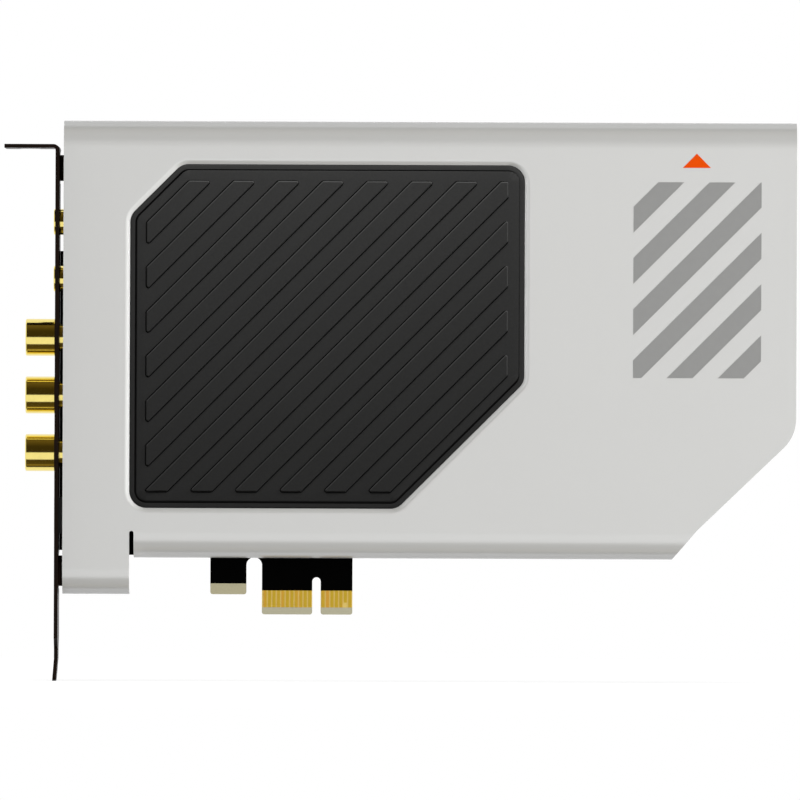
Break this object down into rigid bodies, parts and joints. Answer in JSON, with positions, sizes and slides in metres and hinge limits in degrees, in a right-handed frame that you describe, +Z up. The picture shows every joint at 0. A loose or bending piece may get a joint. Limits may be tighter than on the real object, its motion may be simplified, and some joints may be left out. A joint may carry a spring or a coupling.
{
  "type": "pci express sound card",
  "caption": "Sound card for a PCI Express slot: board under a folded pale metal shroud with a dark grooved insert, and a slot bracket with phono, jack and optical sockets.",
  "frame": {"origin": "middle of the key notch at the finger ends, in the board's mid-plane", "axes": "+X along the card away from the bracket, +Z up out of the slot, shroud towards -Y"},
  "size_m": [0.1771, 0.0216, 0.1253],
  "materials": {
    "shroud_paint": "satin powder coat",
    "panel_plastic": "satin charcoal",
    "board_mask": "black solder mask",
    "gold_plate": "bright gold plate",
    "bracket_black": "black-brown plate",
    "moulded_black": "moulded black",
    "chip_black": "moulded epoxy",
    "can_metal": "lidded can",
    "capacitor_sleeve": "shrink sleeve",
    "film_case": "red box",
    "relay_case": "white box",
    "coil_grey": "ferrite grey",
    "standoff_brass": "turned",
    "screw_steel": "black plated",
    "solder_tin": "bright solder"
  },
  "bodies": {
    "root": {"front_shroud": "shroud_paint", "insert_panel": "panel_plastic", "main_board": "board_mask", "edge_contacts": "gold_plate", "headphone_jack_collar": "gold_plate", "microphone_jack_collar": "gold_plate", "rca_shell_1": "gold_plate", "rca_shell_2": "gold_plate", "rca_shell_3": "gold_plate", "rca_contact_1": "gold_plate", "rca_contact_2": "gold_plate", "rca_contact_3": "gold_plate", "io_bracket": "bracket_black", "rca_housing": "moulded_black", "optical_socket": "moulded_black", "headphone_jack_body": "moulded_black", "microphone_jack_body": "moulded_black", "front_panel_header": "moulded_black", "rca_insulator_1": "moulded_black", "rca_insulator_2": "moulded_black", "rca_insulator_3": "moulded_black", "audio_processor": "chip_black", "bus_chip": "chip_black", "output_converter": "chip_black", "input_converter": "chip_black", "headphone_amplifier": "chip_black", "op_amps": "chip_black", "flash_memory": "chip_black", "voltage_regulators": "chip_black", "oscillators": "can_metal", "electrolytic_capacitors": "capacitor_sleeve", "film_capacitors": "film_case", "output_relays": "relay_case", "power_coils": "coil_grey", "chip_resistors": "coil_grey", "shroud_standoffs": "standoff_brass", "shroud_screws": "screw_steel", "ear_screws": "screw_steel", "lead_ends": "solder_tin"}
  },
  "joints": []
}
